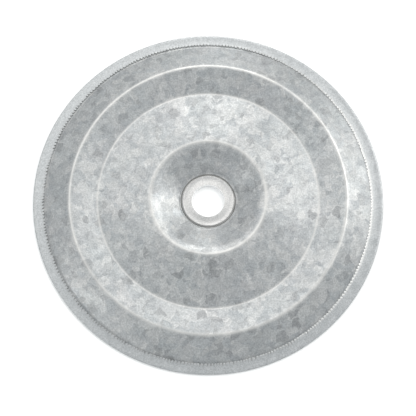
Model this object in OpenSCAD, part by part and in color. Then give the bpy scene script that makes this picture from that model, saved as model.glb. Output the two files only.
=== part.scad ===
// Oil drain pan: a round pressed steel pan with a bound rim and a drain collar in its middle.
// Units are millimetres. +Z is up, and the origin is on the floor under the middle of the pan.
// The pan stands on the underside of its rim binding, at z = 0.

/* [Overall] */
// Outside diameter over the rim binding
outer_d = 406.4; // [250:0.1:600]
// Thickness of the pressed sheet
sheet_t = 0.8; // [0.5:0.05:2]

/* [Pressed rings] */
// Radius of the outer crest
crest_r = 160.2; // [110:0.5:240]
// Height of the outer crest, before it is rounded
crest_h = 18.4; // [10:0.1:40]
// Radius of the trough between the outer crest and the broad disc
trough_r = 128.4; // [90:0.5:200]
// Height of the trough's bottom, on its upper side
trough_h = 9.8; // [5:0.1:30]
// Radius of the inner crest, where the broad disc ends
cup_r = 67.4; // [50:0.1:110]
// Height of the inner crest, before it is rounded
cup_h = 22; // [12:0.1:60]
// Radius of the cup's shoulder, where its wall starts to drop steeply
shoulder_r = 60.2; // [45:0.1:100]
// Height of the shoulder
shoulder_h = 20; // [10:0.1:55]
// Width of the flat floor between the collar's seat and the cup's wall
cup_floor_w = 2; // [1:0.1:20]
// Height of the cup's flat floor
cup_floor_h = 5; // [4:0.1:20]

/* [Bends] */
// Radius of the bend where the outer band leaves the rim
rim_bend = 3; // [1:0.5:20]
// Radius of the outer crest's bend
crest_bend = 5; // [1:0.1:12]
// Radius of the trough's bend
trough_bend = 2.5; // [1:0.1:12]
// Radius of the inner crest's bend
cup_bend = 3; // [1:0.1:14]
// Radius of the shoulder's bend
shoulder_bend = 22; // [4:0.5:40]
// Radius of the bend between the cup's wall and floor
cup_foot_bend = 3.5; // [1:0.5:20]
// Radius of the two bends of the collar's seat
seat_bend = 0.9; // [0.5:0.05:2]

/* [Rim binding] */
// Thickness of the binding strip
binding_t = 0.8; // [0.4:0.05:1.5]
// Width of the binding over the pan's upper side
binding_w = 13.8; // [6:0.1:25]
// Width of the binding under the pan
binding_foot_w = 7; // [5:0.1:12]
// Slope of the pan's edge under the binding, in degrees
edge_slope = 7; // [2:0.5:20]
// How far the edge goes on past the binding before the outer band starts
edge_show = 0.7; // [0.3:0.1:6]

/* [Drain collar] */
// Radius of the clear hole
bore_r = 18.6; // [8:0.1:26]
// Wall of the collar's barrel
barrel_wall = 1; // [0.6:0.05:2]
// Radius of the collar's flange
flange_r = 29.8; // [24:0.1:38]
// Thickness of the flange
flange_t = 0.9; // [0.6:0.05:2]
// Rise of the flange from its middle to the bore
flange_rise = 0.9; // [0:0.05:2]
// Width of the flange's turned-up edge
flange_lip_w = 3.2; // [1:0.1:6]
// Rise of the flange's turned-up edge
flange_lip = 0.6; // [0:0.05:2]
// How far the barrel's lip is rolled out under the backing ring
lip_w = 2.8; // [1:0.1:8]
// Thickness of that lip
lip_t = 0.7; // [0.4:0.05:1.5]
// Thickness of the sealing ring
seal_t = 0.8; // [0.4:0.05:2]
// How far the sealing ring shows outside the flange
seal_proud = 0.5; // [0.2:0.05:2]
// Thickness of the backing ring under the pan
backing_t = 1; // [0.6:0.05:2.5]
// Height of the rolled lip above the floor
lip_clear = 0.3; // [0.1:0.05:5]
// Gap between the barrel and the rings around it
barrel_gap = 0.2; // [0.05:0.05:0.5]
// Gap between the sealing ring and the bend at the foot of its seat's wall
seat_gap = 0.2; // [0.05:0.05:1.5]

/* [Hidden] */
$fn = 128;

galvanised = [0.68, 0.71, 0.72];
plated = [0.74, 0.77, 0.79];
grey_rubber = [0.45, 0.45, 0.45];

outer_r = outer_d / 2;
// The rim, from the floor up: the binding's foot, the pan's edge, the binding's upper side.
edge_under = binding_t;
edge_top = edge_under + sheet_t;
turn_r = outer_r - binding_t - sheet_t / 2;
foot_in_r = turn_r - binding_foot_w;
slope_r = foot_in_r + binding_foot_w * 0.4;
binding_in_r = outer_r - binding_w;
band_foot_r = binding_in_r - edge_show;
band_foot_h = edge_top + (slope_r - band_foot_r) * tan(edge_slope);

// The middle, from the floor up: rolled lip, backing ring, pan, sealing ring, flange.
lip_under = lip_clear;
backing_under = lip_under + lip_t;
seat_under = backing_under + backing_t;
seat_top = seat_under + sheet_t;
seal_top = seat_top + seal_t;
barrel_r = bore_r + barrel_wall;
hole_r = barrel_r + barrel_gap;
seal_r = flange_r + seal_proud;
lip_r = barrel_r + lip_w;
bore_round = 0.6;

// The seat's flat runs past the sealing ring to the bend, and its wall leans out to the cup's floor.
seat_wall_w = 1.1;
seat_wall_angle = atan2(cup_floor_h - seat_top, seat_wall_w);
seat_r = seal_r + seat_gap + seat_bend * tan(seat_wall_angle / 2);
seat_edge_r = seat_r + seat_wall_w;
cup_foot_r = seat_edge_r + cup_floor_w;

// The most of a straight run that the bend at either end of it may take up.
run_share = 0.5;
// How far a cut reaches past what it cuts.
cut = 1;

function unit(v) = v / norm(v);
function turned(v) = [-v[1], v[0]];
function wrapped(a) = a > 180 ? a - 360 : a < -180 ? a + 360 : a;

// Points of a bend at b, between the straight runs a-b and b-c. Its radius is wanted_r, or as much of
// it as half of the shorter run leaves room for.
function bend(a, b, c, wanted_r, steps) =
    let (u = unit(a - b), v = unit(c - b), half = acos(u * v) / 2)
    let (r = min(wanted_r, run_share * min(norm(a - b), norm(c - b)) * tan(half)))
    let (centre = b + unit(u + v) * r / sin(half))
    let (first = b + u * r / tan(half) - centre, last = b + v * r / tan(half) - centre)
    let (start = atan2(first[1], first[0]), sweep = wrapped(atan2(last[1], last[0]) - start))
    [for (i = [0 : steps])
        centre + r * [cos(start + sweep * i / steps), sin(start + sweep * i / steps)]];

// Points of an arc about a centre.
function arc(centre, r, from, to, steps) =
    [for (i = [0 : steps])
        centre + r * [cos(from + (to - from) * i / steps), sin(from + (to - from) * i / steps)]];

// Normal of a line of points at point i, long enough to keep the sheet's thickness at a corner.
function corner_normal(p, i) =
    let (n = len(p) - 1)
    let (before = turned(unit(p[max(i, 1)] - p[max(i, 1) - 1])))
    let (after = turned(unit(p[min(i, n - 1) + 1] - p[min(i, n - 1)])))
    let (middle = unit(before + after))
    middle / (middle * before);

// Outline of a sheet of thickness t on the left of a line of points.
function sheet(p, t) = concat(
    p, [for (i = [len(p) - 1 : -1 : 0]) p[i] + t * corner_normal(p, i)]);

// Corners of the pan's upper side, from the rim inwards.
edge_end = [turn_r, edge_top];
edge_bend = [slope_r, edge_top];
band_foot = [band_foot_r, band_foot_h];
crest = [crest_r, crest_h];
trough = [trough_r, trough_h];
cup_edge = [cup_r, cup_h];
shoulder = [shoulder_r, shoulder_h];
cup_foot = [cup_foot_r, cup_floor_h];
seat_edge = [seat_edge_r, cup_floor_h];
seat_foot = [seat_r, seat_top];
hole_edge = [hole_r, seat_top];

pan_line = concat(
    [edge_end, edge_bend],
    bend(edge_bend, band_foot, crest, rim_bend, 2),
    bend(band_foot, crest, trough, crest_bend, 4),
    bend(crest, trough, cup_edge, trough_bend, 3),
    bend(trough, cup_edge, shoulder, cup_bend, 3),
    bend(cup_edge, shoulder, cup_foot, shoulder_bend, 4),
    bend(shoulder, cup_foot, seat_edge, cup_foot_bend, 4),
    bend(cup_foot, seat_edge, seat_foot, seat_bend, 3),
    bend(seat_edge, seat_foot, hole_edge, seat_bend, 3),
    [hole_edge]);

// Inner side of the binding: along its foot, round the pan's edge and back over the top.
binding_end = [binding_in_r, edge_top + (slope_r - binding_in_r) * tan(edge_slope)];
binding_line = concat(
    [[foot_in_r, binding_t]],
    arc([turn_r, binding_t + sheet_t / 2], sheet_t / 2, -90, 90, 4),
    [edge_bend, binding_end]);

// Upper side of the flange: low in the middle, higher at the bore and at its turned-up edge.
flange_low_in_r = bore_r + (flange_r - bore_r) * 0.55;
flange_low_out_r = flange_r - flange_lip_w;
flange_low = seal_top + flange_t;
bore_top = flange_low + flange_rise;
flange_top = flange_low + flange_lip;
flange_edge_w = 0.4;
flange_edge_h = 0.3;
lip_edge = 0.2;

// The pressed pan, with its hole in the middle.
module pan_shell()
    color(galvanised)
        rotate_extrude()
            polygon(sheet(pan_line, sheet_t));

// The strip crimped round the pan's edge.
module rim_binding()
    color(plated)
        rotate_extrude()
            polygon(sheet(binding_line, -binding_t));

// The flanged collar that lines the hole.
module drain_collar()
    color(plated)
        rotate_extrude()
            polygon(concat(
                arc([bore_r + bore_round, lip_under + bore_round], bore_round, 270, 180, 3),
                arc([bore_r + bore_round, bore_top - bore_round], bore_round, 180, 90, 3),
                [[flange_low_in_r, flange_low], [flange_low_out_r, flange_low]],
                [[flange_r - flange_edge_w, flange_top], [flange_r, flange_top - flange_edge_h]],
                [[flange_r, seal_top], [barrel_r, seal_top], [barrel_r, backing_under]],
                [[lip_r, backing_under], [lip_r, lip_under + lip_edge], [lip_r - lip_edge, lip_under]]));

// A flat ring that lies on the level z and has the pan's hole in it.
module washer(z, r, t)
    translate([0, 0, z])
        difference() {
            cylinder(r = r, h = t);
            translate([0, 0, -cut])
                cylinder(r = hole_r, h = t + 2 * cut);
        }

// The rubber ring between the flange and the pan.
module sealing_ring()
    color(grey_rubber)
        washer(seat_top, seal_r, seal_t);

// The steel ring that the collar's lip pulls up against the pan's underside.
module backing_ring()
    color(plated)
        washer(backing_under, flange_r, backing_t);

pan_shell();
rim_binding();
drain_collar();
sealing_ring();
backing_ring();
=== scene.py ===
# %% [markdown]
# # A pressed galvanised drain pan
# The real thing is one shallow steel pressing, a strip crimped round its rim, and a flanged collar in
# its middle hole. The measured solids come in as the frame, and every surface made here is laid over
# them. The frame has +Z up, its origin on the floor under the middle, and its lengths in metres.

import bpy
import numpy as np
from mathutils import Matrix, Vector


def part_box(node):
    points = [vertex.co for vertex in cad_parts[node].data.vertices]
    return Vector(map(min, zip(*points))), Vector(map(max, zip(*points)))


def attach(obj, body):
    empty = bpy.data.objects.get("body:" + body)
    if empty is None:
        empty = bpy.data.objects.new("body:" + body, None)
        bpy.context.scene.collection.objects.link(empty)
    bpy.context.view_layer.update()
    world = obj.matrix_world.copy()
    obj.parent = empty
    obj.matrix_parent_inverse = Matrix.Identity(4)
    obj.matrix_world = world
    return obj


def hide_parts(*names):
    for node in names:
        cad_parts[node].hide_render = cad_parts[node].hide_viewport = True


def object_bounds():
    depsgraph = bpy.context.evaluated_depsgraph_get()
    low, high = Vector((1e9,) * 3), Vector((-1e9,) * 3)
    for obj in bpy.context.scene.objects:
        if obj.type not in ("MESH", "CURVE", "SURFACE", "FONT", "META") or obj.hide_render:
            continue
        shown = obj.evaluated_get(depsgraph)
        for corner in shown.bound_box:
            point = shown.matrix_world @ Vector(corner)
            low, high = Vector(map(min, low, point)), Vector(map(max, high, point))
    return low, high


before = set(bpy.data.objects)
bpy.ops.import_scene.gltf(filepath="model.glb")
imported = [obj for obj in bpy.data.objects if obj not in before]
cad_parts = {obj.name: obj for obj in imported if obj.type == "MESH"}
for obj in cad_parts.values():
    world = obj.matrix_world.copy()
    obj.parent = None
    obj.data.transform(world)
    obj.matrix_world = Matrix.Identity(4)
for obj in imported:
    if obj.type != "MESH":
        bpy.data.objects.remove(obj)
cad_low, cad_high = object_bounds()
MM = 0.001
print("nodes:", sorted(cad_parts))
print("the pan is", round((cad_high.x - cad_low.x) / MM, 1), "mm across")

# %% [markdown]
# ## Reading the section of a turned piece
# Every piece of this pan is a figure of revolution, so all of its shape is in its section: one closed
# line of radius against height. That line is read off the frame's own triangles, instead of being
# typed again, so the fine surfaces can't drift away from the measured ones.

# %% Read the section of a node


def section(node):
    """Closed line of (radius, height) points of a turned node, inwards along the top and back out
    underneath. A turned solid has a seam in the half-plane y = 0, x > 0. The triangles beside it on
    one side have one edge each in that half-plane, and those edges, put end to end, are the section."""
    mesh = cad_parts[node].data
    corners = np.empty(len(mesh.vertices) * 3, np.float32)
    mesh.vertices.foreach_get("co", corners)
    index = np.empty(len(mesh.loops), np.int32)
    mesh.loops.foreach_get("vertex_index", index)
    triangles = corners.reshape(-1, 3).astype(float)[index].reshape(-1, 3, 3)
    triangles = triangles[triangles[:, :, 1].mean(axis=1) > 0]
    on_seam = (np.abs(triangles[:, :, 1]) < 0.001 * MM) & (triangles[:, :, 0] > 0)
    seam_edges = on_seam & np.roll(on_seam, -1, axis=1)
    starts = triangles[seam_edges][:, [0, 2]]
    ends = np.roll(triangles, -1, axis=1)[seam_edges][:, [0, 2]]
    chain = [0]
    while len(chain) < len(starts):
        chain.append(int(np.argmin(np.linalg.norm(starts - ends[chain[-1]], axis=1))))
    line = starts[chain]
    following = np.roll(line, -1, axis=0)
    area = np.sum(line[:, 0] * following[:, 1] - following[:, 0] * line[:, 1]) / 2
    return line if area > 0 else line[::-1]


shell_section = section("pan_shell")
print("the shell's section has", len(shell_section), "corners")

# %% [markdown]
# ## Easing the bends
# The measured section turns each bend in a few short straight steps, and a highlight shows every one
# of them. A subdivision modifier could round them, but it would spend as many faces on the flats as on
# the bends. Here each corner is replaced by a short curve that leaves one side and meets the next
# without a kink, and points are kept mostly where the line bends, so the flats cost almost nothing.

# %% Ease a section


def eased(line, points, longest=6 * MM, bend_share=0.7, steps=9):
    """Each corner C becomes the curve (1-t)^2 P + 2t(1-t) C + t^2 Q, where P and Q lie on its two
    sides, half the shorter side away but no more than longest. The count of points kept grows with
    the distance walked plus bend_share of the angle turned."""
    ahead = np.roll(line, -1, axis=0) - line
    length = np.linalg.norm(ahead, axis=1, keepdims=True)
    ahead = ahead / length
    behind, behind_length = np.roll(ahead, 1, axis=0), np.roll(length, 1, axis=0)
    reach = np.minimum(np.minimum(length, behind_length) / 2, longest)
    t = np.linspace(0, 1, steps)[None, :, None]
    first, last = (line - behind * reach)[:, None], (line + ahead * reach)[:, None]
    curve = (1 - t) ** 2 * first + 2 * t * (1 - t) * line[:, None] + t ** 2 * last
    curve = curve.reshape(-1, 2)
    closed = np.concatenate([curve, curve[:1]])
    moves = np.diff(closed, axis=0)
    size = np.linalg.norm(moves, axis=1)
    moving = np.flatnonzero(size > 1e-9)
    heading = np.unwrap(np.arctan2(moves[:, 1], moves[:, 0])[moving])
    turn = np.zeros(len(moves))
    turn[moving] = np.abs(np.diff(heading, prepend=heading[0]))
    walked, turned = np.cumsum(size), np.cumsum(turn)
    share = (1 - bend_share) * walked / walked[-1] + bend_share * turned / turned[-1]
    share = np.concatenate([[0], share])
    wanted = np.arange(points) / points
    return np.column_stack([np.interp(wanted, share, closed[:, i]) for i in (0, 1)])


shell_line = eased(shell_section, 176)
print("eased section:", len(shell_line), "points")

# %% [markdown]
# ## Carrying a section round the axis
# A closed line carried once round the axis gives a ring with no seam and no pole. A screw modifier
# could do it, but a grid of corners worked out here can also be moved row by row, which the pleats
# need. The grid has one row for each angle. Its last row is joined to its first, and the line's last
# point to its first.

# %% Turn a section into a mesh


def angles(around):
    """Even angles once round the pan, as a column."""
    return np.arange(around)[:, None] * 2 * np.pi / around


def even_rings(line, around):
    """The same section at every angle, as grids of radius and height."""
    return tuple(np.repeat(line[None, :, i], around, axis=0) for i in (0, 1))


def ring_mesh(name, radius, height, numbers=None):
    """Corner (i, j) stands at angle i, radius[i, j] from the axis and height[i, j] above the floor:
    x = r cos a and y = r sin a. Faces join neighbours, wrapping round both ways. Each entry of
    numbers is a grid of values that is kept on the corners for the material to read."""
    around, along = radius.shape
    angle = angles(around)
    corners = np.stack([radius * np.cos(angle), radius * np.sin(angle), height], axis=-1)
    index = np.arange(around * along).reshape(around, along)
    across = np.roll(index, -1, axis=0)
    faces = np.stack(
        [index, across, np.roll(across, -1, axis=1), np.roll(index, -1, axis=1)], axis=-1)
    mesh = bpy.data.meshes.new(name)
    mesh.from_pydata(corners.reshape(-1, 3).tolist(), [], faces.reshape(-1, 4).tolist())
    mesh.polygons.foreach_set("use_smooth", np.ones(len(mesh.polygons), bool))
    for label, values in (numbers or {}).items():
        layer = mesh.attributes.new(label, "FLOAT", "POINT")
        layer.data.foreach_set("value", values.astype(np.float32).ravel())
    mesh.update()
    piece = bpy.data.objects.new(name, mesh)
    bpy.context.scene.collection.objects.link(piece)
    print(name, "has", len(mesh.polygons), "faces")
    return piece


def hand_in(piece, node):
    """The piece rides on the pan's one body and stands for its node, which is hidden."""
    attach(piece, "root")
    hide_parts(node)
    return piece


print("a ring of 4 steps has its corners at", np.degrees(angles(4)).ravel(), "degrees")

# %% [markdown]
# ## The unevenness of real sheet
# No pressing is a perfect figure of revolution. A few slow waves, mostly under a tenth of a millimetre
# high, break up the reflections the way thin sheet does. Random noise could do this too, but sums of
# sines with whole numbers of turns round the pan are sure to close on themselves.

# %% Slow waves in the sheet
rng = np.random.default_rng(16)


def slow_waves(angle, radius, height, count=16, most_turns=9, pitch=60 * MM):
    """Sum of count sines, each with its own whole number of turns, its own pitch along the radius
    and its own start, scaled so that the waves are about height high."""
    turns = rng.integers(0, most_turns + 1, count)
    across = 2 * np.pi * rng.uniform(0.3, 1.6, count) / pitch
    start = rng.uniform(0, 2 * np.pi, count)
    waves = sum(np.sin(n * angle + k * radius + s) for n, k, s in zip(turns, across, start))
    return height * waves / np.sqrt(count / 2)


SHELL_AROUND = 540
SHELL_WAVES = 0.06 * MM
shell_r, shell_z = even_rings(shell_line, SHELL_AROUND)
shell_waves = slow_waves(angles(SHELL_AROUND), shell_r, SHELL_WAVES)
print("the sheet's waves reach", round(float(np.abs(shell_waves).max()) / MM, 2), "mm")

# %% [markdown]
# ## The pressed shell
# The pan itself is one sheet. It could be a bare surface with a thickness added to it, but the frame's
# section has both faces, in along the top and back out underneath, so both sides are where they were
# measured. The waves may not lift a crest above the measured solid's top. On the two crests and in the
# trough between them the zinc is painted brighter, partly wear where the die pinched the metal and
# partly painted highlight along the bends, so those three rings are looked up for the material.

# %% Build the pressed shell
shell = ring_mesh("pressed_shell", shell_r, np.minimum(shell_z + shell_waves, cad_high.z))
hand_in(shell, "pan_shell")

# %% Find the crests and the trough
inner_crest = shell_section[np.argmax(shell_section[:, 1])]
outside = shell_section[shell_section[:, 0] > inner_crest[0] * 2]
outer_crest = outside[np.argmax(outside[:, 1])]
between = shell_line[(shell_line[:, 0] > inner_crest[0]) & (shell_line[:, 0] < outer_crest[0])]
trough = between[np.argmin(between[:, 1])]
print("inner crest, trough, outer crest at", [
    round(float(ring[0]) / MM, 1) for ring in (inner_crest, trough, outer_crest)], "mm")

# %% [markdown]
# ## The strip round the rim
# The binding's section is the frame's too. Only the part of it that lies on the pan, near its raw
# edge, is pleated, so each point gets a margin number: 1 at the raw edge, falling to 0 a few
# millimetres out. The raw edge also wanders in and out by a millimetre, because the strip wasn't
# folded in quite evenly, and it slides along the slope of the pan's edge as it does.

# %% Mark the binding's margin
PLEATS = 324
STEPS_IN_PLEAT = 6
PLEATED_MARGIN = 3.6 * MM
UPPER_SHARE = 0.42
EDGE_SLOPE = 0.12
WANDER_SIDEWAYS = 1.0 * MM
WANDER_ENDS = 1.1 * MM

binding_line = eased(section("rim_binding"), 44, bend_share=0.6)
binding_r, binding_z = even_rings(binding_line, PLEATS * STEPS_IN_PLEAT)
binding_angle = angles(PLEATS * STEPS_IN_PLEAT)
raw_edge_r = binding_line[:, 0].min()
on_top = binding_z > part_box("rim_binding")[1].z * UPPER_SHARE
margin = np.clip((raw_edge_r + PLEATED_MARGIN - binding_r) / PLEATED_MARGIN, 0, 1) * on_top
wander = WANDER_ENDS * np.sin(binding_angle) ** 2 - WANDER_SIDEWAYS * np.cos(binding_angle)
print("raw edge at", round(float(raw_edge_r) / MM, 1), "mm, wandering from",
      round(float(wander.min()) / MM, 1), "to", round(float(wander.max()) / MM, 1), "mm")

# %% [markdown]
# ## Pleats
# A flat strip folded in over a round edge has too much metal at its inner margin, and it gathers into
# hundreds of small pleats: rounded tongues with a nick between each two. The crimp could be simulated,
# or one pleat modelled and repeated, but a formula over the whole ring has no joins and gives the same
# shape each time. Each nick is a bell in the middle of its own step round the pan, and slow waves keep
# the pleats from being all alike in place and in strength.

# %% Lay out the pleats
NICK_WIDTH = 0.17
PLEAT_DRIFT = 0.9
STRENGTH_SPREAD = 0.35
STRENGTH_LIMITS = (0.3, 1.7)

no_radius = 0 * binding_angle
drift = PLEAT_DRIFT * slow_waves(binding_angle, no_radius, 1, count=24, most_turns=60)
place_in_pleat = ((PLEATS * binding_angle + drift) / (2 * np.pi)) % 1
nick = np.exp(-((np.abs(place_in_pleat - 0.5) / NICK_WIDTH) ** 2))
spread = STRENGTH_SPREAD * slow_waves(binding_angle, no_radius, 1, count=30, most_turns=150)
strength = np.clip(1 + spread, *STRENGTH_LIMITS)
print(PLEATS, "pleats, from", round(float(strength.min()), 2), "to",
      round(float(strength.max()), 2), "times as strong as the usual")

# %% [markdown]
# ## The pleated binding
# A nick draws the edge back outwards and dips, and a tongue is lifted. Nicks and tongues get painted
# shade.
# Along the +X side, where the light falls, the margin gets a painted glint instead, weighted by
# ((1 + cos a) / 2)^5, which is 1 at a = 0 and next to nothing on the far side; this weight also
# flattens the tongues and clears the painted shade from the nicks.

# %% Build the pleated binding
NICK_DEPTH = 1.5 * MM
NICK_DIP = 1.6
TONGUE_LIFT = 0.3 * MM
LIT_SIDE_POWER = 5
LIT_SIDE_FLATTENS = 0.6
LIT_SIDE_CLEARS_SHADE = 0.85
# The next three set painted shade in the nicks, painted shade over the tongues, and a painted glint
# along the lit +X side.
NICK_SHADE = 1.3
TONGUE_SHADE = 0.1
GLINT_STRENGTH = 1.3

# Weight of the lit +X side: it flattens the tongues, clears the painted shade and carries the painted
# glint.
lit_side = ((1 + np.cos(binding_angle)) / 2) ** LIT_SIDE_POWER
lift = TONGUE_LIFT * (1 - LIT_SIDE_FLATTENS * lit_side) * strength * (1 - NICK_DIP * nick)
pleated_r = binding_r + NICK_DEPTH * strength * nick * margin ** 2 + wander * margin
pleated_z = binding_z + lift * margin ** 1.5 - EDGE_SLOPE * wander * margin
nick_and_tongue_shade = (NICK_SHADE * nick * strength + TONGUE_SHADE) * (1 - LIT_SIDE_CLEARS_SHADE * lit_side)
binding = ring_mesh("pleated_binding", pleated_r, pleated_z, {
    "fold_shade": nick_and_tongue_shade * margin,
    "glint_and_wear": GLINT_STRENGTH * margin ** 2 * lit_side})
hand_in(binding, "rim_binding")

# %% [markdown]
# ## The collar, its seal and the ring behind
# The flanged collar lines the middle hole, with a rubber seal under its flange and a steel ring behind
# the sheet. They are small plain turnings, too small for slow waves to show, so their sections are
# eased and carried round, and nothing more.

# %% Build the collar, the seal and the backing ring
COLLAR_AROUND = 256


def small_ring(name, node, points):
    """A turned piece straight from its section."""
    radius, height = even_rings(eased(section(node), points), COLLAR_AROUND)
    return hand_in(ring_mesh(name, radius, height), node)


collar = small_ring("flanged_collar", "drain_collar", 72)
seal = small_ring("rubber_seal", "sealing_ring", 24)
backing = small_ring("clamping_ring", "backing_ring", 24)

# %% [markdown]
# ## Building finishes from nodes
# A finish could be a picture wrapped round the piece, but these are worked out from the place on the
# object, so they have no picture, no seam and no limit to how close one may look. A few helpers keep
# the node code short: they add a node and fill in its sockets, do arithmetic on numbers or on places,
# and turn a number into a grey or a colour.

# %% Helpers for the finishes


def start_finish(name, metallic, roughness):
    """A material with its shader. Values that are the same everywhere are set on the shader."""
    material = bpy.data.materials.new(name)
    material.use_nodes = True
    shader = material.node_tree.nodes["Principled BSDF"]
    shader.inputs["Metallic"].default_value = metallic
    shader.inputs["Roughness"].default_value = roughness
    return material, material.node_tree, shader


def fill(tree, made, sockets, values):
    """Sets each socket of a node to its value, or links it to the socket given as its value."""
    for socket, value in zip(sockets, values):
        if isinstance(value, bpy.types.NodeSocket):
            tree.links.new(value, made.inputs[socket])
        else:
            made.inputs[socket].default_value = value
    return made


def add(tree, kind, settings=None, **sockets):
    """Adds a node, sets its own settings, and fills or links its sockets by name."""
    made = tree.nodes.new("ShaderNode" + kind)
    for key, value in (settings or {}).items():
        setattr(made, key, value)
    return fill(tree, made, [key.replace("_", " ") for key in sockets], sockets.values())


def maths(tree, operation, *values):
    """The result of one arithmetic step on numbers."""
    made = add(tree, "Math", {"operation": operation})
    return fill(tree, made, range(len(values)), values).outputs[0]


def places(tree, operation, *values):
    """The result of one arithmetic step on places or directions."""
    made = add(tree, "VectorMath", {"operation": operation})
    return fill(tree, made, range(len(values)), values).outputs[0]


def scaled(tree, place, amount):
    """A place or direction made amount times as long."""
    made = add(tree, "VectorMath", {"operation": "SCALE"}, Scale=amount)
    return fill(tree, made, [0], [place]).outputs[0]


def any_way(tree, colour, reach):
    """A direction made of a random colour: up to half of reach, either way along each axis."""
    return scaled(tree, places(tree, "SUBTRACT", colour, (0.5, 0.5, 0.5)), reach)


def ramp(tree, fac, stops):
    """A colour ramp through (position, grey or colour) stops."""
    made = add(tree, "ValToRGB", Fac=fac)
    points = made.color_ramp.elements
    while len(points) < len(stops):
        points.new(0.5)
    for point, (position, shade) in zip(points, stops):
        point.position = position
        colour = (shade,) * 3 if isinstance(shade, float) else shade
        point.color = (*colour, 1)
    return made.outputs["Color"]


def multiplied(tree, first, *others):
    """The product of several colours."""
    for other in others:
        mixed = add(tree, "MixRGB", {"blend_type": "MULTIPLY"}, Fac=1.0, Color1=first, Color2=other)
        first = mixed.outputs[0]
    return first


def covered(tree, amount, under, over):
    """The colour under, covered by the colour over as far as amount says, from 0 to 1."""
    mixed = add(tree, "MixRGB", {"use_clamp": True}, Fac=amount, Color1=under, Color2=(*over, 1))
    return mixed.outputs[0]


def give(piece, finish):
    """Gives the piece its finish."""
    piece.data.materials.append(finish)
    print(piece.name, "gets", finish.name, "with", len(finish.node_tree.nodes), "nodes")


# %% [markdown]
# ## Noise and crystals
# Hot-dip zinc freezes into flat crystals, each of which throws back a different grey. Cells round
# scattered points give the crystals. Pushing the place about with noise before the cells are looked up
# bends their straight edges: slow noise leaves clean curves, and busy noise frays them.

# %% Noise and cells


def noise(tree, place, size, detail, **more):
    """Noise with features of about the given size, as its node."""
    return add(tree, "TexNoise", Vector=place, Scale=1 / size, Detail=detail, **more)


def object_place(tree):
    """The place on the object."""
    return add(tree, "TexCoord").outputs["Object"]


def pushed(tree, place, fray, size, detail=4.0):
    """The place, pushed about by up to half of fray, by noise of the given size. With little detail
    the push changes slowly."""
    colour = noise(tree, place, size, detail, Roughness=0.6).outputs["Color"]
    return places(tree, "ADD", place, any_way(tree, colour, fray))


def crystals(tree, place, size, softness=0.0):
    """A random colour for each crystal of about the given size, and that colour's three parts. The
    crystals melt a little into their neighbours where softness is more than nothing."""
    settings = {"feature": "SMOOTH_F1"} if softness else {}
    cells = add(tree, "TexVoronoi", settings, Vector=place, Scale=1 / size)
    if softness:
        cells.inputs["Smoothness"].default_value = softness
    colour = cells.outputs["Color"]
    return colour, add(tree, "SeparateColor", Color=colour).outputs


# %% [markdown]
# ## Bright and dark rings
# The sheet is painted brighter on the crests and in the trough, partly wear where the die pinched it
# and partly painted highlight, and on the wall of the collar's seat with painted light. It is painted
# darker with painted shade round the collar's seat and along the binding's raw edge. Both could be
# painted on by hand, but both follow the pan's own rings, so a bell over one radius gives each of them.
# Each bright ring has its radius, its strength and its width, and each dark ring its radius, how far
# it darkens the zinc, and its width.

# %% Rings on the sheet
seal_edge_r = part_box("sealing_ring")[1].x
# Bright rings: wear and painted highlight on the crests and in the trough, and painted light on the
# seat's wall.
WEAR_AND_HIGHLIGHT_RINGS = [
    (inner_crest[0] - 0.6 * MM, 0.7, 2.2 * MM),
    (outer_crest[0] + 1.0 * MM, 0.7, 1.9 * MM),
    (trough[0], 0.6, 1.3 * MM),
    (seal_edge_r + 0.9 * MM, 0.8, 0.8 * MM)]
# Dark rings: painted shade round the collar's seat and along the binding's raw edge.
SEAT_SHADE = (seal_edge_r + 3.0 * MM, 0.85, 4.5 * MM)
HEM_SHADE = (raw_edge_r - 0.5 * MM, 0.72, 1.5 * MM)


def ring_bell(tree, radius, middle, width):
    """A bell over one ring of the pan: exp(-((r - middle) / width)^2)."""
    away = maths(tree, "DIVIDE", maths(tree, "SUBTRACT", radius, float(middle)), width)
    return maths(tree, "EXPONENT", maths(tree, "MULTIPLY", maths(tree, "MULTIPLY", away, away), -1.0))


def radius_from_axis(tree, place):
    """Distance of the place from the pan's axis."""
    length = add(tree, "VectorMath", {"operation": "LENGTH"})
    return fill(tree, length, [0], [places(tree, "MULTIPLY", place, (1, 1, 0))]).outputs["Value"]


def darkening(tree, bell, shade):
    """A grey to multiply by: 1 where the bell is nothing, and shade where it is 1."""
    return ramp(tree, bell, [(0.0, 1.0), (1.0, shade)])


print("rubbed rings at", [round(float(ring[0]) / MM, 1) for ring in WEAR_AND_HIGHLIGHT_RINGS], "mm")

# %% [markdown]
# ## Painted shade along the raw edge
# The painted shade on the sheet lies against the binding's raw edge, so it has to follow the edge as it
# wanders. The same wander is worked out again here, from the cosine x / r and the sine y / r of the
# place, and so is the weight of the lit +X side, where the shade is mostly left out.

# %% Painted shade along the raw edge
HEM_SHADE_OFF_ON_LIT_SIDE = 0.8


def painted_hem_shade(tree, place, radius):
    """How far painted shade darkens the sheet along the binding. It is mostly left out on the lit +X
    side.
    """
    parts = add(tree, "SeparateXYZ", Vector=place).outputs
    cosine = maths(tree, "DIVIDE", parts["X"], radius)
    sine = maths(tree, "DIVIDE", parts["Y"], radius)
    endways = maths(tree, "MULTIPLY", maths(tree, "MULTIPLY", sine, sine), WANDER_ENDS)
    sideways = maths(tree, "MULTIPLY", cosine, WANDER_SIDEWAYS)
    unwandered = maths(tree, "SUBTRACT", radius, maths(tree, "SUBTRACT", endways, sideways))
    ring, shade, width = HEM_SHADE
    lit_side_here = maths(tree, "POWER", maths(tree, "MULTIPLY_ADD", cosine, 0.5, 0.5), LIT_SIDE_POWER)
    left = maths(tree, "MULTIPLY_ADD", lit_side_here, -HEM_SHADE_OFF_ON_LIT_SIDE, 1.0)
    bell = ring_bell(tree, unwandered, ring, width)
    return darkening(tree, maths(tree, "MULTIPLY", bell, left), shade)


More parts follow.
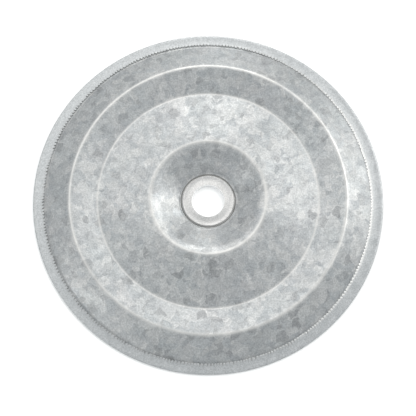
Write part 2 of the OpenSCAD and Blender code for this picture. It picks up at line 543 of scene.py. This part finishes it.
def painted_seat_shade(tree, radius):
    """How far painted shade darkens the sheet round the collar's seat."""
    ring, shade, width = SEAT_SHADE
    return darkening(tree, ring_bell(tree, radius, ring, width), shade)


# Radii of the painted shade rings.
print("painted_shade at", [round(float(ring[0]) / MM, 1) for ring in (SEAT_SHADE, HEM_SHADE)], "mm")

# %% [markdown]
# ## Patterns in the zinc
# The sheet carries several patterns at once: large crystals that melt into each other, smaller ones
# with clean curved edges, flakes, feathery streaks, fine grain, and clouds that drift across them all.
# They could be cut into the mesh, but the real ones are all but flat, so they belong in the finish.

# %% Patterns in the zinc
BIG_CRYSTAL = 15 * MM
SMALL_CRYSTAL = 9 * MM
FLAKE = 6 * MM
FEATHER = 4 * MM
GRAIN = 1.7 * MM
CLOUD = 40 * MM


def zinc_patterns(tree, place):
    """The patterns of the sheet by their names: crystals as the three parts of their random colour,
    and the rest as a number from 0 to 1."""
    frayed = pushed(tree, place, 9 * MM, 9 * MM)
    curved = pushed(tree, place, 12 * MM, 9 * MM, 0.5)
    feathered = pushed(tree, place, 7 * MM, 3 * MM)
    feathers = noise(tree, feathered, FEATHER, 5.0, Roughness=0.65, Distortion=1.2)
    small_colour, small = crystals(tree, curved, SMALL_CRYSTAL)
    return {
        "big": crystals(tree, frayed, BIG_CRYSTAL, 0.35)[1],
        "small": small,
        "small colour": small_colour,
        "flakes": crystals(tree, curved, FLAKE)[1],
        "clouds": noise(tree, place, CLOUD, 3.0).outputs["Fac"],
        "feathers": feathers.outputs["Fac"],
        "grain": noise(tree, place, GRAIN, 3.0).outputs["Fac"]}


print("patterns from", round(GRAIN / MM, 1), "to", round(CLOUD / MM, 1), "mm in size")

# %% [markdown]
# ## The grey of the sheet
# Each pattern becomes a tint: dark and cool at its low end, light and warm at its high end. The tints
# are multiplied together. A few crystals and flakes are much darker than the rest.

# %% The grey of the sheet
DARK_ZINC = 0.407
LIGHT_ZINC = 0.428


def zinc_grey(tree, patterns):
    """The product of the patterns' tints."""
    return multiplied(
        tree,
        ramp(tree, patterns["big"]["Red"], [(0.2, DARK_ZINC), (0.8, LIGHT_ZINC)]),
        ramp(tree, patterns["small"]["Green"], [
            (0.0, 0.78), (0.06, 0.85), (0.12, (0.905, 0.92, 0.93)), (1.0, (1.09, 1.078, 1.063))]),
        ramp(tree, patterns["flakes"]["Red"], [
            (0.0, 0.82), (0.05, (0.90, 0.903, 0.91)), (1.0, (1.107, 1.102, 1.095))]),
        ramp(tree, patterns["feathers"], [(0.3, 0.97), (0.7, 1.03)]),
        ramp(tree, patterns["grain"], [(0.3, 0.81), (0.7, 1.19)]),
        ramp(tree, patterns["clouds"], [(0.3, (0.955, 0.987, 0.999)), (0.7, (0.985, 1.0, 1.016))]))


print("the large crystals go from", DARK_ZINC, "to", LIGHT_ZINC)

# %% [markdown]
# ## Galvanised sheet
# The grey is darkened by painted shade and brightened by wear and painted highlight along its rings.
# Zinc is a soft metal and wears unevenly, so the brightening is patchy with the clouds. Each small
# crystal leans its own way, which makes it flash on its own, and the bump is kept slight because the
# crystals are flat.

# %% Wear, painted highlight and lean
# Colour of the bright rings: wear and painted highlight.
WEAR_AND_HIGHLIGHT_ZINC = (0.68, 0.67, 0.65)
BRIGHTENING_WITHOUT_CLOUDS = 0.35
CRYSTAL_LEAN = 0.04


def wear_and_highlight_amount(tree, radius, clouds):
    """How far the zinc is brightened by wear and painted highlight: the sum of the rings' bells, patchy
    with the clouds.
    """
    brightening = 0.0
    for ring, amount, width in WEAR_AND_HIGHLIGHT_RINGS:
        bell = ring_bell(tree, radius, ring, width)
        brightening = maths(tree, "ADD", brightening, maths(tree, "MULTIPLY", bell, amount))
    return maths(tree, "MULTIPLY", brightening, maths(tree, "ADD", BRIGHTENING_WITHOUT_CLOUDS, clouds))


def leaning(tree, normal, colour):
    """The normal, tipped a little by a crystal's random colour."""
    lean = any_way(tree, colour, CRYSTAL_LEAN)
    return places(tree, "NORMALIZE", places(tree, "ADD", normal, lean))


most_lean = np.degrees(CRYSTAL_LEAN * np.sqrt(3) / 2)
print("the small crystals lean by up to", round(float(most_lean), 1), "degrees")

# %% Spangled zinc
SMOOTHEST_ZINC = 0.35
ROUGHER_BY = 0.1
FACET_HEIGHT = 0.3


def spangled_zinc():
    """Galvanised sheet, a little rougher on some crystals than on others."""
    material, tree, shader = start_finish("spangled_zinc", 0.85, 0.4)
    place = object_place(tree)
    radius = radius_from_axis(tree, place)
    patterns = zinc_patterns(tree, place)
    # The sheet's grey with painted shade at the seat and along the raw edge, then wear and painted
    # highlight on its rings.
    grey = multiplied(
        tree, zinc_grey(tree, patterns), painted_seat_shade(tree, radius), painted_hem_shade(tree, place, radius))
    colour = covered(tree, wear_and_highlight_amount(tree, radius, patterns["clouds"]), grey, WEAR_AND_HIGHLIGHT_ZINC)
    tree.links.new(colour, shader.inputs["Base Color"])
    rough = maths(tree, "MULTIPLY_ADD", patterns["big"]["Blue"], ROUGHER_BY, SMOOTHEST_ZINC)
    tree.links.new(rough, shader.inputs["Roughness"])
    facets = maths(tree, "MULTIPLY", patterns["small"]["Blue"], FACET_HEIGHT)
    heights = maths(tree, "ADD", facets, patterns["feathers"])
    bump = add(tree, "Bump", Strength=0.2, Distance=0.12 * MM, Height=heights)
    normal = leaning(tree, bump.outputs[0], patterns["small colour"])
    tree.links.new(normal, shader.inputs["Normal"])
    return material


give(shell, spangled_zinc())

# %% [markdown]
# ## Smooth plated steel
# The binding and the collar are plated after they are formed, so they have no large crystals. They
# have a soft mottle and fine grain. One finish could serve both, but each is marked in its own way, so
# they share a function and lay their own marks over it. The binding has painted shade in its nicks and
# a painted glint along its lit side, which it reads from the numbers on its corners. The collar's bore
# is painted bright, painted light that lifts the shade in it.

# %% Smooth plating
MOTTLE = 9 * MM
FINE_GRAIN = 1.5 * MM
SMOOTHEST_PLATING = 0.28
MOTTLE_ROUGHER_BY = 0.2


def plating(name, light, dark, grain_depth):
    """Plated strip, mottled between two colours and finely grained: its material, its tree, its
    shader, the place on it and its colour."""
    material, tree, shader = start_finish(name, 0.8, 0.38)
    place = object_place(tree)
    frayed = pushed(tree, place, 5 * MM, 5 * MM)
    mottle = noise(tree, frayed, MOTTLE, 5.0).outputs["Fac"]
    grain = noise(tree, place, FINE_GRAIN, 3.0).outputs["Fac"]
    colour = multiplied(
        tree,
        ramp(tree, mottle, [(0.3, dark), (0.7, light)]),
        ramp(tree, grain, [(0.3, 1 - grain_depth), (0.7, 1 + grain_depth)]))
    rough = maths(tree, "MULTIPLY_ADD", mottle, MOTTLE_ROUGHER_BY, SMOOTHEST_PLATING)
    tree.links.new(rough, shader.inputs["Roughness"])
    bump = add(tree, "Bump", Strength=0.2, Distance=0.1 * MM, Height=grain)
    tree.links.new(bump.outputs[0], shader.inputs["Normal"])
    return material, tree, shader, place, colour


print("mottle of", round(MOTTLE / MM, 1), "mm and grain of", round(FINE_GRAIN / MM, 1), "mm")

# %% Plating of the binding
# Colour and cover of the painted shade in the nicks, and the colour of the painted glint.
FOLD_SHADE_COLOUR = (0.12, 0.115, 0.105)
FOLD_SHADE_COVER = 0.9
GLINT_PLATING = (0.92, 0.91, 0.89)


def binding_plating():
    """Bluish plating with painted shade in the nicks and a painted glint along the lit side."""
    material, tree, shader, _, colour = plating(
        "binding_plating", (0.452, 0.463, 0.4705), (0.401, 0.415, 0.4235), 0.19)
    fold_shade = add(tree, "Attribute", {"attribute_name": "fold_shade"}).outputs["Fac"]
    glint_and_wear = add(tree, "Attribute", {"attribute_name": "glint_and_wear"}).outputs["Fac"]
    colour = covered(tree, maths(tree, "MULTIPLY", fold_shade, FOLD_SHADE_COVER), colour, FOLD_SHADE_COLOUR)
    colour = covered(tree, glint_and_wear, colour, GLINT_PLATING)
    tree.links.new(colour, shader.inputs["Base Color"])
    return material


give(binding, binding_plating())

# %% Plating of the collar
# Painted light on the bore wall, lifting the shade there.
BORE_PAINTED_LIGHT = (0.95, 0.95, 0.95)
BORE_LIGHT_WIDTH = 0.5 * MM
bore_r = section("drain_collar")[:, 0].min()


def collar_plating():
    """Paler plating, with painted light in the bore."""
    material, tree, shader, place, colour = plating(
        "collar_plating", (0.577, 0.569, 0.563), (0.522, 0.519, 0.514), 0.18)
    bore_light = ring_bell(tree, radius_from_axis(tree, place), bore_r, BORE_LIGHT_WIDTH)
    tree.links.new(covered(tree, bore_light, colour, BORE_PAINTED_LIGHT), shader.inputs["Base Color"])
    return material


collar_finish = collar_plating()
give(collar, collar_finish)
give(backing, collar_finish)

# %% [markdown]
# ## Grey rubber
# The seal is moulded grey rubber, dull and faintly uneven, with a little dust on it. Only its edge can
# be seen, so one noise does for its colour and its bumps.

# %% Rubber


def seal_rubber():
    """Dull grey rubber with a dusting that varies over a few millimetres."""
    material, tree, shader = start_finish("seal_rubber", 0.0, 0.7)
    dust = noise(tree, object_place(tree), 4 * MM, 4.0).outputs["Fac"]
    tree.links.new(ramp(tree, dust, [(0.35, (0.42, 0.423, 0.427)), (0.75, (0.5, 0.5, 0.498))]),
                   shader.inputs["Base Color"])
    bump = add(tree, "Bump", Strength=0.3, Distance=0.05 * MM, Height=dust)
    tree.links.new(bump.outputs[0], shader.inputs["Normal"])
    return material


give(seal, seal_rubber())

# %% [markdown]
# ## Floor
# A wide pale floor, level with the bottom of the pan. It is staging, and not a piece of the pan. A
# curved backdrop could be used, but from this high up the floor fills the whole view.

# %% Floor
FLOOR_HALF = 3.0
floor_mesh = bpy.data.meshes.new("floor")
floor_mesh.from_pydata(
    [(x, y, 0) for x, y in ((-1, -1), (1, -1), (1, 1), (-1, 1))], [], [(0, 1, 2, 3)])
floor_mesh.transform(Matrix.Scale(FLOOR_HALF, 4))
floor = bpy.data.objects.new("floor", floor_mesh)
bpy.context.scene.collection.objects.link(floor)
floor_paint, _, floor_shader = start_finish("pale_floor", 0.0, 0.9)
floor_shader.inputs["Base Color"].default_value = (0.95, 0.95, 0.95, 1)
floor_mesh.materials.append(floor_paint)
print("the floor is", 2 * FLOOR_HALF, "m across")

# %% [markdown]
# ## Light
# An even sky, a touch cool, and four soft lamps, a touch warm. Under a sky alone the rings would look
# flat. Bright zinc shows the light that its slope faces, so each lamp picks out the side of every ring
# that leans its way, and the far sides go grey and bluish.

# %% Sky and lamps
SKY_STRENGTH = 0.845
SKY_COLOUR = (0.96, 0.99, 1.0)
LAMP_COLOUR = (1.0, 0.985, 0.955)
LAMP_DISTANCE = 2.3


def soft_lamp(name, heading, elevation, across, power):
    """A square lamp that faces the pan. Its heading is in degrees, from straight behind the pan (+Y)
    round to the right (+X), and its elevation is in degrees above the floor."""
    light = bpy.data.lights.new(name, "AREA")
    light.shape = "SQUARE"
    light.size = across
    light.color = LAMP_COLOUR
    light.energy = power
    turn, rise = np.radians(heading), np.radians(elevation)
    place = LAMP_DISTANCE * Vector(
        (np.sin(turn) * np.cos(rise), np.cos(turn) * np.cos(rise), np.sin(rise)))
    lamp = bpy.data.objects.new(name, light)
    lamp.location = place
    lamp.rotation_euler = place.to_track_quat("Z", "Y").to_euler()
    bpy.context.scene.collection.objects.link(lamp)
    print(name, "stands at", [round(v, 2) for v in place])


soft_lamp("back_lamp", 4, 35, 0.55, 8.7)
soft_lamp("back_left_lamp", 323, 57, 1.7, 8)
soft_lamp("right_lamp", 62, 40, 1.45, 18)
soft_lamp("left_lamp", 242, 19, 1.1, 7)
sky = bpy.data.worlds.new("studio")
sky.use_nodes = True
sky.node_tree.nodes["Background"].inputs["Color"].default_value = (*SKY_COLOUR, 1)
sky.node_tree.nodes["Background"].inputs["Strength"].default_value = SKY_STRENGTH
bpy.context.scene.world = sky
bpy.context.scene.view_settings.view_transform = "Standard"

# %% [markdown]
# ## Camera
# A long lens high in front of the pan, about fifteen degrees off its axis, so that the rings stay
# nearly round and their slopes still show. A short lens close by would make the near rim look larger.

# %% Camera
CAMERA_ELEVATION = np.radians(75.5)
CAMERA_DISTANCE = 2.206
aim = Vector((-0.2, -7.3, 0)) * MM
camera_data = bpy.data.cameras.new("camera")
camera_data.sensor_width = 36
camera_data.lens = 164.4
camera = bpy.data.objects.new("camera", camera_data)
toward = Vector((0, -np.cos(CAMERA_ELEVATION), np.sin(CAMERA_ELEVATION)))
camera.location = aim + toward * CAMERA_DISTANCE
camera.rotation_euler = (-toward).to_track_quat("-Z", "Y").to_euler()
bpy.context.scene.collection.objects.link(camera)
bpy.context.scene.camera = camera
print("the camera is", round(camera.location.z, 2), "m above the floor")
